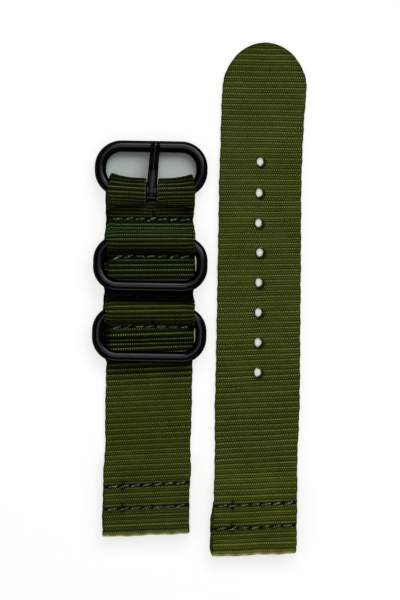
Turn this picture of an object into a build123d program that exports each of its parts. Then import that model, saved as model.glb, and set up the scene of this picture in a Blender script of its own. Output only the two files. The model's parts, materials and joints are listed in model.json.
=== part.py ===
from build123d import *
import math
import os

os.makedirs("parts", exist_ok=True)

# A two-piece ribbed nylon watch strap, laid flat with its two pieces side by side.
# Millimetres. Y runs along the strap, X across it, Z up from the surface it lies on.
# The origin is under the middle of the whole strap's bounding box.

# Webbing, one folded strip for each piece
webbing_thickness = 1.2
layer_gap = 0.1
buckle_webbing_width = 21.8
tail_webbing_width = 21.3
tail_length = 130.9
piece_spacing = 27.8
buckle_piece_raise = 4.6
bend_radius = 1.5
long_bend_radius = 3.0
step_radius = 3.0
ramp_radius = 8.0

# Tapered free end of the tail and its sizing holes
tip_taper_length = 12.4
hole_count = 8
hole_pitch = 7.66
hole_width = 1.95
hole_length = 2.6
first_hole_from_tip = 30.35

# Loops for the watch's spring bars, one at the end of each piece
spring_bar_bore_radius = 1.0
loop_neck_radius = 1.8
loop_outer_seam_from_fold = 7.1
loop_inner_seam_from_fold = 12.9
loop_flap_past_seam = 1.2
loop_ramp_past_flap = 1.0

# Wire of the buckle frame and of the two keeper rings
wire_diameter = 2.9
frame_side_room = 0.6
frame_height = 14.5
frame_end_flat = 0.9
frame_side_shift = 0.2
keeper_side_room = 0.8
keeper_height = 14.45
keeper_end_flat = 1.65

# Where the hinge bars and the seams lie, measured along the strap
buckle_bar_from_loop_fold = 87.7
upper_keeper_from_buckle_bar = 12.7
lower_keeper_from_buckle_bar = 30.6
fold_seam_from_buckle_bar = 7.1
seam_before_keeper = 4.0
seam_past_keeper = 3.85
flap_past_last_seam = 1.3

# Room for the bars to turn in their folds
pocket_clearance = 0.1
fold_slack = 0.75
fold_shoulder_clearance = 0.15
bar_lift_in_fold = 0.2
keeper_rest_gap = 0.3
frame_rest_gap = 0.05

# Tongue, with an eye that turns on the frame's lower bar
tongue_root_diameter = 2.7
tongue_tip_diameter = 2.4
tongue_running_clearance = 0.05
tongue_eye_wall = 1.0
tongue_eye_edge_break = 0.3
tongue_root_rise = 1.4
tongue_root_behind_bar = 0.3
tongue_past_far_bar = 0.95
tongue_seat_gap = 0.1
tongue_skew_degrees = 4.0

# Slot that the tongue comes out of
slot_side_clearance = 0.45
slot_reach_behind_bar = 3.9
slot_overrun = 1.0

# Seams, each a locked pair of threads through both layers
thread_width = 0.45
thread_height = 0.4
thread_stand_proud = 0.25
thread_dimple = 0.2
leg_width = 0.45
needle_clearance = 0.05
seam_edge_margin = 0.875
stitch_count = 7
under_thread_cover = 0.02

wire_radius = wire_diameter / 2
half_webbing = webbing_thickness / 2

# The rings go round the webbing with room beside it, and their ends are nearly half round
frame_width = buckle_webbing_width + 2 * (frame_side_room + wire_diameter)
frame_corner_radius = (frame_height - frame_end_flat) / 2
keeper_width = buckle_webbing_width + 2 * (keeper_side_room + wire_diameter)
keeper_corner_radius = (keeper_height - keeper_end_flat) / 2

# Places of the two pieces, so that the whole is centred on the origin
left_reach = max(keeper_width / 2, frame_width / 2 + frame_side_shift)
right_reach = tail_webbing_width / 2
buckle_x = -(piece_spacing + right_reach - left_reach) / 2
tail_x = buckle_x + piece_spacing
tip_y = tail_length / 2
tail_fold_y = -tail_length / 2
buckle_fold_y = tail_fold_y + buckle_piece_raise

# Heights of the middle of each layer
lower_level = half_webbing
upper_level = lower_level + webbing_thickness + layer_gap

# Places along the buckle piece
buckle_bar_y = buckle_fold_y + buckle_bar_from_loop_fold
buckle_bar_z = webbing_thickness + bar_lift_in_fold + wire_radius
keeper_bar_z = webbing_thickness + pocket_clearance + wire_radius
upper_keeper_y = buckle_bar_y - upper_keeper_from_buckle_bar
lower_keeper_y = buckle_bar_y - lower_keeper_from_buckle_bar
fold_seam_y = buckle_bar_y - fold_seam_from_buckle_bar
upper_keeper_seam_y = upper_keeper_y - seam_past_keeper
between_keepers_seam_y = lower_keeper_y + seam_before_keeper
lower_keeper_seam_y = lower_keeper_y - seam_past_keeper
flap_end_y = lower_keeper_seam_y - flap_past_last_seam

# The spring bar's axis, in a loop that touches the surface
loop_outer_radius = spring_bar_bore_radius + webbing_thickness
loop_axis_z = loop_outer_radius
loop_upper_level = loop_axis_z + (layer_gap + webbing_thickness) / 2
loop_lower_level = loop_axis_z - (layer_gap + webbing_thickness) / 2


class StripPath:
    """The middle line of a folded strip seen from the side: straight runs and tangent arcs."""

    def __init__(self, y, z, heading):
        self.y, self.z, self.heading = y, z, math.radians(heading)
        self.spans = []

    def run_to(self, y):
        start = (self.y, self.z)
        self.z += (y - self.y) * math.tan(self.heading)
        self.y = y
        self.spans.append(("run", start, (self.y, self.z), self.heading))

    def turn(self, radius, degrees):
        """Turn on a radius, to the left where degrees is positive."""
        side = math.copysign(1, degrees)
        centre = (self.y - side * radius * math.sin(self.heading), self.z + side * radius * math.cos(self.heading))
        begin = self.heading - side * math.pi / 2
        end = begin + math.radians(degrees)
        self.spans.append(("arc", centre, radius, begin, end, side))
        self.y = centre[0] + radius * math.cos(end)
        self.z = centre[1] + radius * math.sin(end)
        self.heading += math.radians(degrees)

    def edge(self, span, x, offset):
        """One edge of the strip, offset to the left of the middle line."""
        if span[0] == "run":
            _, start, end, heading = span
            shift_y, shift_z = -offset * math.sin(heading), offset * math.cos(heading)
            return Line((x, start[0] + shift_y, start[1] + shift_z), (x, end[0] + shift_y, end[1] + shift_z))
        _, centre, radius, begin, end, side = span
        reach = radius - side * offset
        angles = (begin, (begin + end) / 2, end)
        points = [(x, centre[0] + reach * math.cos(a), centre[1] + reach * math.sin(a)) for a in angles]
        return ThreePointArc(*points)

    def outline(self, x):
        left = [self.edge(span, x, half_webbing) for span in self.spans]
        right = [self.edge(span, x, -half_webbing) for span in self.spans]
        caps = [Line(left[0] @ 0, right[0] @ 0), Line(left[-1] @ 1, right[-1] @ 1)]
        return Wire([edge.edge() for edge in left + right + caps])


def turn_onto_bar(level, bar_z, fold_radius, radius):
    """Angle above level at which a strip that bends up on one radius meets its arc over a bar."""
    height = level + radius - bar_z
    return math.degrees(math.asin(height / (fold_radius + radius)))


def reach_of_fold(level, bar_z, fold_radius, radius):
    """Distance along the strip from a bar to where the strip leaves its level."""
    height = level + radius - bar_z
    return math.sqrt((fold_radius + radius) ** 2 - height**2)


def pass_over_bar(path, bar_y, bar_z, pocket_radius, approach_radius):
    """Lead the strip, which runs towards -Y, up, over a bar and down again."""
    fold_radius = pocket_radius + half_webbing
    climb = approach_radius - half_webbing
    climb_angle = turn_onto_bar(upper_level, bar_z, fold_radius, climb)
    drop = bend_radius - half_webbing
    drop_angle = turn_onto_bar(upper_level, bar_z, fold_radius, drop)
    path.run_to(bar_y + reach_of_fold(upper_level, bar_z, fold_radius, climb))
    path.turn(climb, climb_angle - 90)
    path.turn(fold_radius, 90 - climb_angle)
    path.turn(fold_radius, 90 - drop_angle)
    path.turn(drop, drop_angle - 90)


def step_angle(drop, radius):
    return math.degrees(math.acos(1 - drop / (2 * radius)))


def spring_bar_end(path, fold_y):
    """Finish a strip that runs towards -Y on the surface: ramp, loop for a spring bar, flap."""
    loop_y = fold_y + loop_outer_radius
    flap_end = fold_y + loop_inner_seam_from_fold + loop_flap_past_seam
    rise = loop_upper_level - lower_level
    angle = step_angle(rise, ramp_radius)
    ramp_length = 2 * ramp_radius * math.sin(math.radians(angle))
    path.run_to(flap_end + loop_ramp_past_flap + ramp_length)
    path.turn(ramp_radius, -angle)
    path.turn(ramp_radius, angle)
    fold_radius = spring_bar_bore_radius + half_webbing
    radius = loop_neck_radius - half_webbing
    neck_angle = turn_onto_bar(loop_upper_level, loop_axis_z, fold_radius, radius)
    path.run_to(loop_y + reach_of_fold(loop_upper_level, loop_axis_z, fold_radius, radius))
    path.turn(radius, neck_angle - 90)
    path.turn(fold_radius, 180 - neck_angle)
    path.turn(fold_radius, 180 - neck_angle)
    path.turn(radius, neck_angle - 90)
    path.run_to(flap_end)


def shoulder_rise(x, width, corner_radius):
    """How far a ring's inner edge has bent away from its bar's straight line, x from its middle."""
    inner_radius = corner_radius - wire_diameter
    past = abs(x) - (width / 2 - corner_radius)
    if past <= 0:
        return 0
    past = min(past, inner_radius)
    return inner_radius - math.sqrt(inner_radius**2 - past**2)


def keeper_pocket_radius(x):
    return wire_radius + pocket_clearance + shoulder_rise(x, keeper_width, keeper_corner_radius)


def buckle_fold_radius(x):
    rise = shoulder_rise(x + frame_side_shift, frame_width, frame_corner_radius)
    return max(wire_radius + fold_slack, wire_radius + fold_shoulder_clearance + rise)


def buckle_strap_path(x):
    """The buckle piece's strip, x from its middle: flap, fold round the frame's bar, two pockets, loop."""
    path = StripPath(flap_end_y, lower_level, 0)
    fold_radius = buckle_fold_radius(x)
    under_radius = buckle_bar_z - webbing_thickness
    path.run_to(buckle_bar_y + fold_radius - under_radius)
    path.turn(under_radius + half_webbing, 90)
    over_radius = fold_radius + half_webbing
    radius = bend_radius - half_webbing
    angle = turn_onto_bar(upper_level, buckle_bar_z, over_radius, radius)
    path.turn(over_radius, 90)
    path.turn(over_radius, 90 - angle)
    path.turn(radius, angle - 90)
    pass_over_bar(path, upper_keeper_y, keeper_bar_z, keeper_pocket_radius(x), long_bend_radius)
    pass_over_bar(path, lower_keeper_y, keeper_bar_z, keeper_pocket_radius(x), bend_radius)
    step = step_angle(upper_level - lower_level, step_radius)
    path.run_to(flap_end_y - layer_gap)
    path.turn(step_radius, step)
    path.turn(step_radius, -step)
    spring_bar_end(path, buckle_fold_y)
    return path


def buckle_strap_stations():
    """Places across the buckle piece where the bars' shoulders begin and end, from left to right."""
    edge = buckle_webbing_width / 2
    keeper_straight = keeper_width / 2 - keeper_corner_radius
    halfway = (keeper_straight + edge) / 2
    right = [keeper_straight, halfway, edge]
    return [-x for x in reversed(right)] + right


def seam(x, y, webbing_width, bottom, top):
    """A seam's two threads, locked in the needle holes, and the room that they take in the webbing."""
    length = webbing_width - 2 * seam_edge_margin
    stitch_pitch = (length - leg_width) / stitch_count
    low = bottom + under_thread_cover
    high = top + thread_stand_proud
    threads = Box(length, thread_width, high - low)
    window_height = high - low - 2 * thread_height
    window = Box(stitch_pitch - leg_width, thread_width, window_height)
    dimple = Rot(0, 45, 0) * Box(thread_dimple, thread_width, thread_dimple)
    middles = [(i - (stitch_count - 1) / 2) * stitch_pitch for i in range(stitch_count)]
    legs = [(i - stitch_count / 2) * stitch_pitch for i in range(stitch_count + 1)]
    threads -= [Pos(middle, 0, 0) * window for middle in middles]
    threads -= [Pos(leg, 0, (high - low) / 2) * dimple for leg in legs]
    threads = Pos(x, y, (low + high) / 2) * threads
    room_width = thread_width + 2 * needle_clearance
    leg_room = leg_width + 2 * needle_clearance
    depth = thread_height + under_thread_cover + needle_clearance
    top_depth = thread_height - thread_stand_proud + needle_clearance
    room = Pos(x, y, bottom + depth / 2) * Box(length + 2 * needle_clearance, room_width, depth)
    room += Pos(x, y, top - top_depth / 2) * Box(length + 2 * needle_clearance, room_width, top_depth)
    room += [Pos(x + leg, y, (bottom + top) / 2) * Box(leg_room, room_width, top - bottom) for leg in legs]
    return threads, room


def wire_ring(width, height, corner_radius):
    """A closed ring of round wire about the origin's X axis, which is its hinge bar, towards +Y."""
    path = RectangleRounded(width - wire_diameter, height - wire_diameter, corner_radius - wire_radius).wire()
    section = Plane(origin=path @ 0, z_dir=path % 0) * Circle(wire_radius)
    return Pos(0, (height - wire_diameter) / 2, 0) * sweep(section, path=path)


def buckle_frame():
    frame = wire_ring(frame_width, frame_height, frame_corner_radius)
    return Pos(buckle_x - frame_side_shift, buckle_bar_y, buckle_bar_z) * Rot(-frame_tilt, 0, 0) * frame


def keeper_ring(bar_y, tilt):
    ring = Rot(0, 0, 180) * wire_ring(keeper_width, keeper_height, keeper_corner_radius)
    return Pos(buckle_x, bar_y, keeper_bar_z) * Rot(-tilt, 0, 0) * ring


def buckle_tongue():
    """An eye round the frame's bar and a shank, round at both ends, whose tip lies on the far bar."""
    bore_radius = wire_radius + tongue_running_clearance
    root_radius = tongue_root_diameter / 2
    tip_radius = tongue_tip_diameter / 2
    along_x = Rot(0, 90, 0)
    eye = along_x * Cylinder(bore_radius + tongue_eye_wall, tongue_root_diameter)
    eye = chamfer(eye.edges().filter_by(GeomType.CIRCLE), tongue_eye_edge_break)
    seat_height = wire_radius + tongue_seat_gap + tip_radius
    far_bar = frame_height - wire_diameter
    slope = (seat_height - tongue_root_rise) / (far_bar + tongue_root_behind_bar)
    tip = far_bar + tongue_past_far_bar - tip_radius
    skew = math.tan(math.radians(tongue_skew_degrees))
    root_point = Vector(-tongue_root_behind_bar * skew, -tongue_root_behind_bar, tongue_root_rise)
    tip_point = Vector(tip * skew, tip, tongue_root_rise + slope * (tip + tongue_root_behind_bar))
    length = (tip_point - root_point).length
    side = [
        CenterArc((0, 0), root_radius, 270, 90),
        Line((root_radius, 0), (tip_radius, length)),
        CenterArc((0, length), tip_radius, 0, 90),
        Line((0, length + tip_radius), (0, -root_radius)),
    ]
    shank = revolve(Plane.XZ * make_face(side), Axis.Z)
    tongue = eye + Plane(origin=root_point, z_dir=tip_point - root_point) * shank
    bore = along_x * Cylinder(bore_radius, tongue_root_diameter * 2)
    tongue -= bore
    return Pos(buckle_x, buckle_bar_y, buckle_bar_z) * Rot(-frame_tilt, 0, 0) * tongue


def tongue_slot():
    """The slot through the fold, with a round end behind the bar."""
    half = tongue_root_diameter / 2 + slot_side_clearance
    reach = slot_reach_behind_bar - half
    front = buckle_fold_radius(buckle_webbing_width / 2) + webbing_thickness + slot_overrun
    height = 2 * (buckle_bar_z + front)
    slot = Pos(0, (front - reach) / 2, 0) * Box(2 * half, front + reach, height)
    slot += Pos(0, -reach, 0) * Cylinder(half, height)
    return Pos(buckle_x, buckle_bar_y, 0) * slot


def buckle_webbing(rooms):
    outlines = [buckle_strap_path(x).outline(buckle_x + x) for x in buckle_strap_stations()]
    webbing = Solid.make_loft(outlines, ruled=True)
    return webbing - tongue_slot() - rooms


def tail_outline():
    """The tail from above: straight sides and a half-ellipse tip."""
    half = tail_webbing_width / 2
    shoulder = tip_y - tip_taper_length
    body = Pos(tail_x, (shoulder + tail_fold_y) / 2) * Rectangle(2 * half, shoulder - tail_fold_y)
    tip = Pos(tail_x, shoulder) * Ellipse(half, tip_taper_length)
    return body + tip


def tail_webbing(rooms):
    path = StripPath(tip_y, lower_level, 180)
    spring_bar_end(path, tail_fold_y)
    side = Face(path.outline(tail_x - tail_webbing_width / 2))
    webbing = extrude(side, tail_webbing_width, dir=(1, 0, 0))
    height = 2 * loop_axis_z + webbing_thickness
    webbing &= extrude(tail_outline(), height)
    first = tip_y - first_hole_from_tip
    hole = extrude(Ellipse(hole_width / 2, hole_length / 2), height, both=True)
    webbing -= [Pos(tail_x, first - i * hole_pitch, 0) * hole for i in range(hole_count)]
    return webbing - rooms


# The rings lie down until they rest: the frame on the surface, the keepers on the webbing
frame_tilt = math.degrees(math.asin((buckle_bar_z - wire_radius - frame_rest_gap) / (frame_height - wire_diameter)))
keeper_bar_spacing = keeper_height - wire_diameter


def keeper_tilt(webbing_top):
    rise = webbing_top + keeper_rest_gap + wire_radius - keeper_bar_z
    return math.degrees(math.asin(rise / keeper_bar_spacing))


doubled_top = upper_level + half_webbing
loop_top = loop_upper_level + half_webbing
loop_bottom = loop_lower_level - half_webbing

buckle_seams = {
    "buckle_fold_seam": seam(buckle_x, fold_seam_y, buckle_webbing_width, 0, doubled_top),
    "upper_keeper_seam": seam(buckle_x, upper_keeper_seam_y, buckle_webbing_width, 0, doubled_top),
    "between_keepers_seam": seam(buckle_x, between_keepers_seam_y, buckle_webbing_width, 0, doubled_top),
    "lower_keeper_seam": seam(buckle_x, lower_keeper_seam_y, buckle_webbing_width, 0, doubled_top),
    "buckle_loop_inner_seam": seam(buckle_x, buckle_fold_y + loop_inner_seam_from_fold, buckle_webbing_width, loop_bottom, loop_top),
    "buckle_loop_outer_seam": seam(buckle_x, buckle_fold_y + loop_outer_seam_from_fold, buckle_webbing_width, loop_bottom, loop_top),
}
tail_seams = {
    "tail_loop_inner_seam": seam(tail_x, tail_fold_y + loop_inner_seam_from_fold, tail_webbing_width, loop_bottom, loop_top),
    "tail_loop_outer_seam": seam(tail_x, tail_fold_y + loop_outer_seam_from_fold, tail_webbing_width, loop_bottom, loop_top),
}

nodes = {
    "buckle_strap_webbing": buckle_webbing([room for _, room in buckle_seams.values()]),
    "tail_strap_webbing": tail_webbing([room for _, room in tail_seams.values()]),
    "buckle_frame": buckle_frame(),
    "buckle_tongue": buckle_tongue(),
    "upper_keeper_ring": keeper_ring(upper_keeper_y, keeper_tilt(doubled_top)),
    "lower_keeper_ring": keeper_ring(lower_keeper_y, keeper_tilt(webbing_thickness)),
}
for name, (threads, _) in (buckle_seams | tail_seams).items():
    nodes[name] = threads

for name, shape in nodes.items():
    export_step(shape, f"parts/{name}.step")

print("buckle bar", buckle_x, buckle_bar_y, buckle_bar_z, "frame tilt", round(frame_tilt, 2))
print("keeper bars", upper_keeper_y, lower_keeper_y, keeper_bar_z)
print("keeper tilts", round(keeper_tilt(doubled_top), 2), round(keeper_tilt(webbing_thickness), 2))
print("loop axes", buckle_fold_y + loop_outer_radius, tail_fold_y + loop_outer_radius, loop_axis_z, "tail", tail_x)
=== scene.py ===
import bpy
import json
import math
import numpy as np
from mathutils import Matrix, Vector


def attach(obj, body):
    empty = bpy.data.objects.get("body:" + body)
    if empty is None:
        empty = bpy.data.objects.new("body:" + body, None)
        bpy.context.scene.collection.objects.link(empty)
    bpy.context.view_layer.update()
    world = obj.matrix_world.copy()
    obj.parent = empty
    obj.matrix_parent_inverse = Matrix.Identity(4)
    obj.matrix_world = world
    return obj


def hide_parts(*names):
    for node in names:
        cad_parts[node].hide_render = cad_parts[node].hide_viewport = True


# A two-piece ribbed nylon watch strap with black wire hardware, laid flat.
# Sizes are in millimetres and become metres when a mesh is placed. Heights of bumps, the places
# and sizes of lights, and the camera's height are in metres.

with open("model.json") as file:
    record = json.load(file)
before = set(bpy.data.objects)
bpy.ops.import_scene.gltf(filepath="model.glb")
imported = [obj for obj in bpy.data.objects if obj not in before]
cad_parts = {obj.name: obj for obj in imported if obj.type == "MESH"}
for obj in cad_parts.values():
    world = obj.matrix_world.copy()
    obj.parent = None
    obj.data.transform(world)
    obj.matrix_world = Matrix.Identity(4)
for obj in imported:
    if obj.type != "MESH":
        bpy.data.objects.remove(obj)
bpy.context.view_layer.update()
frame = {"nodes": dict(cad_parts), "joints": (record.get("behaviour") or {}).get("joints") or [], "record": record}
mm = 0.001
chance = np.random.default_rng(22)
print("frame loaded")

hinges = {joint["name"]: [c / mm for c in joint.get("pos_m") or (0, 0, 0)] for joint in frame["joints"]}
bores = {mount["name"]: [c / mm for c in mount["pos_m"]] for mount in frame["record"]["mounts"]}
buckleX, barY, barZ = hinges["frame_hinge"]
upperKeeperY, keeperZ = hinges["upper_keeper_hinge"][1:]
lowerKeeperY = hinges["lower_keeper_hinge"][1]
tailX, tailBoreY, boreZ = bores["tail_spring_bar_loop"]
buckleBoreY = bores["buckle_piece_spring_bar_loop"][1]


# Materials

class Value:  # a socket that sums and products can be written with
    def __init__(self, recipe, socket):
        self.recipe, self.socket = recipe, socket

    def maths(self, operation, *others):
        return self.recipe.node("Math", {"operation": operation}, dict(enumerate((self, *others))))

    def atLeast(self, low):
        return self.maths("MAXIMUM", low)

    def atMost(self, high):
        return self.maths("MINIMUM", high)

    def __abs__(self):
        return self.maths("ABSOLUTE")

    def __add__(self, other):
        return self.maths("ADD", other)

    def __sub__(self, other):
        return self.maths("SUBTRACT", other)

    def __rsub__(self, other):
        return (self * -1).maths("ADD", other)

    def __mul__(self, other):
        return self.maths("MULTIPLY", other)

    def __truediv__(self, other):
        return self.maths("DIVIDE", other)

    def __pow__(self, other):
        return self.maths("POWER", other)

    __radd__, __rmul__ = __add__, __mul__


class Recipe:  # one material, made of nodes
    def __init__(self, name, **constants):
        self.material = bpy.data.materials.new(name)
        self.material.use_nodes = True
        self.tree = self.material.node_tree
        self.shader = self.tree.nodes["Principled BSDF"]
        for socket, value in constants.items():
            self.shader.inputs[socket.replace("_", " ")].default_value = value

    def node(self, kind, settings=None, sockets=None, output=0):
        made = self.tree.nodes.new("ShaderNode" + kind)
        for name, value in (settings or {}).items():
            setattr(made, name, value)
        for name, value in (sockets or {}).items():
            if isinstance(value, Value):
                self.tree.links.new(value.socket, made.inputs[name])
            else:
                made.inputs[name].default_value = value
        return Value(self, made.outputs[output])

    def mix(self, share, first, second, blend="MIX"):
        sockets = {0: share, 6: first, 7: second}
        sockets = {k: (*v, 1) if isinstance(v, tuple) else v for k, v in sockets.items()}
        return self.node("Mix", {"data_type": "RGBA", "blend_type": blend}, sockets, 2)

    def noise(self, scale, detail=2.0, stretch=(1, 1, 1)):
        place = self.node("TexCoord", output="Object")
        place = self.node("Mapping", None, {"Vector": place, "Scale": stretch})
        return self.node("TexNoise", None, {"Vector": place, "Scale": scale, "Detail": detail})

    def tone(self, key):    # a number that the mesh carries
        return self.node("Attribute", {"attribute_name": key}, None, "Fac")

    def away(self, axis, middle, reach):    # 0 at the middle, 1 or -1 at its reach, both in millimetres
        place = self.node("TexCoord", output="Object")
        return (self.node("SeparateXYZ", None, {0: place}, axis) * (1 / mm) - middle) * (1 / reach)

    def patch(self, px, py, start, full):    # an oblong with round corners and a soft edge
        reach = abs(px) ** 4.0 + abs(py) ** 4.0
        ends = {0: reach, 1: start, 2: full, 3: 0.0, 4: 1.0}
        return self.node("MapRange", {"interpolation_type": "SMOOTHSTEP"}, ends)

    def give(self, socket, value):
        self.tree.links.new(value.socket, self.shader.inputs[socket])

    def bump(self, height, distance):
        return self.node("Bump", None, {"Height": height, "Distance": distance, "Strength": 1.0})


webbingFinish = {
    "deep": (0.005, 0.0085, 0.0006),  # painted shade between the ribs and between the yarns
    "olive": (0.05, 0.063, 0.0012),   # the body of a rib
    "crest": (0.33, 0.37, 0.115),     # painted highlight on the yarns at a rib's upper edge, which faces the key light
    "lip": (0.75, 0.72, 0.24),        # painted light on the loop's fold, which faces away from the lamps, and on the back layer in the slot
    "green": (0.013, 0.034, 0.0018),  # painted light: the cooler green of webbing on slopes facing the key light and in the rings' shade
    # the painted crest highlight where the webbing takes the painted cool tint
    "paleGreen": (0.35, 0.47, 0.19),
    "undersideShade": (0.027, 0.023, 0.004),   # painted shade on the undersides of the humps, which face away from the key light
    # burn marks at the cut tip and holes, darker side edges, and the seams' painted shade
    "darkened": (0.004, 0.005, 0.0025),
    "crestPlace": 0.27,               # share of a rib
    "crestHalf": 0.19,
    "grooveHalf": 0.12,
    "grooveMore": 0.31,               # added where the painted rib contrast is full
    "grooveDark": (0.1, 0.25, 0.7),   # painted groove shade: everywhere, in streaks, and where the rib contrast is full
    "betweenDark": 0.6,               # painted shade between two yarns
    "crestLight": (0.31, 0.19),       # painted crest highlight: everywhere, and where the rib contrast is full
    "secondLight": 0.25,              # painted highlight on a rib's other edge, where the ribs lie flat
    "ribLight": (0.36, 0.38, 0.85),   # painted highlight: everywhere, from rib to rib, and in streaks
    "fluffLight": (0.55, 0.7),        # painted highlight: everywhere, and in the fluff
    "shade": (0.62, 0.36, 0.4),       # random brightness: everywhere, in the fluff, and in patches
    "patchScale": 110,
    "fluffScale": 2600,
    "streakScale": 500,
    "wanderScale": 420,
    "yarnBump": 0.00007,
}


def ribbedNylon(name, ribs, yarns, gain):
    look = webbingFinish
    nylon = Recipe(name, Roughness=0.75, Specular_IOR_Level=0.02)
    flat = nylon.node("UVMap", {"uv_map": "UVMap"})
    across = nylon.node("SeparateXYZ", None, {0: flat}, 0) * yarns
    along = nylon.node("SeparateXYZ", None, {0: flat}, 1) * ribs
    step = along.maths("FRACT")
    ribContrast, undersideShade = nylon.tone("ribContrast"), nylon.tone("undersideShade")
    coolLight = nylon.tone("coolLight")

    # A rib has a groove in painted shade, a painted highlight at its lit crest, and a second painted highlight
    # where it lies flat
    fromGroove = (0.5 - abs(step - 0.5)) / (ribContrast * look["grooveMore"] + look["grooveHalf"])
    groove = (1 - fromGroove).atLeast(0) ** 0.5
    crest = (1 - abs(step - look["crestPlace"]) * (1 / look["crestHalf"])).atLeast(0)
    second = (1 - abs(step - (look["crestPlace"] + 0.5)) * (1 / look["crestHalf"])).atLeast(0)

    # Yarns, half a yarn over from one rib to the next, that wander in and out of sight
    turn = (along * 2 + 0.1).maths("FLOOR").maths("MODULO", 2.0) * 0.5
    yarn = ((across + turn) * (2 * math.pi)).maths("COSINE") * 0.5 + 0.5
    patches = nylon.noise(look["patchScale"], 3)
    fluff = nylon.noise(look["fluffScale"], 2, (1, 0.45, 1))
    each = nylon.node("TexWhiteNoise", {"noise_dimensions": "1D"}, {"W": along.maths("FLOOR")})
    streaks = nylon.noise(look["streakScale"], 2, (0.22, 1, 1))
    wander = nylon.noise(look["wanderScale"], 2, (0.5, 1, 1))
    wander = (wander * 2.6 - 0.55).atLeast(0.12).atMost(1)
    dots = wander * (yarn ** 2.0 * 2.3 - 0.85) + 0.85
    between = (1 - yarn) * wander

    # Painted shade in the grooves and between the yarns
    plain, streaky, ifContrast = look["grooveDark"]
    dark = groove * (plain + streaky * streaks + ifContrast * ribContrast)
    dark = (dark + between * look["betweenDark"] * (1 - crest * 0.6)).atMost(1)
    # Painted light and shade: the rib's body takes the cool tint and the humps' underside shade
    olive = nylon.mix(undersideShade, nylon.mix(coolLight, look["olive"], look["green"]), look["undersideShade"])
    body = nylon.mix(dark, olive, look["deep"])
    # Painted highlights on the crests, dimmer on the humps' undersides
    plain, ifContrast = look["crestLight"]
    light = crest * (plain + ifContrast * ribContrast) + second * (1 - ribContrast) * look["secondLight"]
    plain, fluffy = look["fluffLight"]
    light = light * dots * (plain + fluffy * fluff)
    plain, byRib, streaky = look["ribLight"]
    light = light * (plain + byRib * each + streaky * streaks) * (1 - undersideShade * 0.45)
    colour = nylon.mix(light.atMost(1), body, nylon.mix(coolLight, look["crest"], look["paleGreen"]))
    plain, fluffy, patchy = look["shade"]
    # Random brightness, with painted shade towards each rib's far edge, then the painted shaded tone and the
    # piece's painted light level
    shade = (plain + fluffy * fluff + patchy * patches) * (1 - step * 0.15)
    shade = shade * (1 - nylon.tone("shaded")) * gain
    grey = nylon.node("CombineXYZ", None, {0: shade, 1: shade, 2: shade})
    colour = nylon.mix(1.0, colour, grey, "MULTIPLY")
    # Painted light where the loop's fold faces away from the lamps and where the back layer lies in the slot
    colour = nylon.mix(nylon.tone("paintedLight") * (0.45 + 0.9 * fluff), colour, look["lip"])
    # Darkening: burn marks, darker side edges, and the seams' painted shade
    colour = nylon.mix(nylon.tone("darkening"), colour, look["darkened"])
    # Painted highlight in pale specks along the slot's rim
    ends = (nylon.tone("rimGlint") * (fluff * 4 - 1.2)).atLeast(0).atMost(1)
    nylon.give("Base Color", nylon.mix(ends, colour, look["crest"]))
    nylon.give("Normal", nylon.bump(yarn + 0.4 * fluff, look["yarnBump"]))
    return nylon.material


threadFinish = {
    "shadow": (0.001, 0.002, 0.001),  # under a ring
    "green": (0.011, 0.034, 0.013),
    "glint": (0.3, 0.38, 0.24),       # where a stitch stands up
    "fluffScale": 2400,
}


def sewingThread():
    look = threadFinish
    twist = Recipe("dark green thread", Roughness=0.45, Specular_IOR_Level=0.3)
    fluff = twist.noise(look["fluffScale"], 1)
    top = twist.tone("top")
    glint = ((fluff * 5.0 - 2.4) * top.atLeast(0)).atLeast(0).atMost(1)
    unlit = twist.mix((top * -1).atLeast(0), look["green"], look["shadow"])
    twist.give("Base Color", twist.mix(glint, unlit, look["glint"]))
    twist.give("Normal", twist.bump(fluff, 0.00003))
    return twist.material


platingFinish = {
    "black": ((0.012, 0.0123, 0.0128), (0.018, 0.0183, 0.0188)),
    "paintedLight": (0.034, 0.035, 0.037),  # painted sheen: the tongue greyer where it leaves the slot
    "sheenAt": 29,
    "sheenHalf": (1.7, 3.1),
    "roughness": (0.17, 0.06, 0.03, 0.2),    # everywhere, in clouds, in the grain, and in the painted sheen
    "cloudScale": 240,
    "grainScale": 5200,
}


def blackPlating():
    look = platingFinish
    plating = Recipe("black satin plating", Metallic=1.0, Specular_Tint=(0.25, 0.25, 0.26, 1))
    cloud = plating.noise(look["cloudScale"], 3)
    grain = plating.noise(look["grainScale"])
    # Painted sheen: a greyer patch on the tongue's shank, which is also rougher
    px = plating.away(0, buckleX, look["sheenHalf"][0])
    py = plating.away(1, look["sheenAt"], look["sheenHalf"][1])
    paintedLight = plating.patch(px, py, 1.8, 0.0)
    plating.give("Base Color", plating.mix(paintedLight, plating.mix(cloud, *look["black"]), look["paintedLight"]))
    plain, cloudy, grainy, inSheen = look["roughness"]
    plating.give("Roughness", plain + cloudy * cloud + grainy * grain + paintedLight * inSheen)
    plating.give("Normal", plating.bump(grain, 0.0000006))
    return plating.material


meltedFinish = {"dark": (0.006, 0.008, 0.003), "pale": (0.026, 0.032, 0.012), "cloudScale": 900}


def meltedEdge():
    melted = Recipe("melted nylon edge", Roughness=0.38)
    cloud = melted.noise(meltedFinish["cloudScale"])
    melted.give("Base Color", melted.mix(cloud, meltedFinish["dark"], meltedFinish["pale"]))
    melted.give("Normal", melted.bump(cloud, 0.00004))
    return melted.material


threadMaterial = sewingThread()
platingMaterial = blackPlating()
meltedMaterial = meltedEdge()
print("materials made")


# Helpers for meshes

def clearSelection():
    if bpy.context.object and bpy.context.object.mode != "OBJECT":
        bpy.ops.object.mode_set(mode="OBJECT")
    bpy.ops.object.select_all(action="DESELECT")


def choose(*pieces):
    clearSelection()
    for piece in pieces:
        piece.select_set(True)
    bpy.context.view_layer.objects.active = pieces[0]
    return pieces[0]


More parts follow.
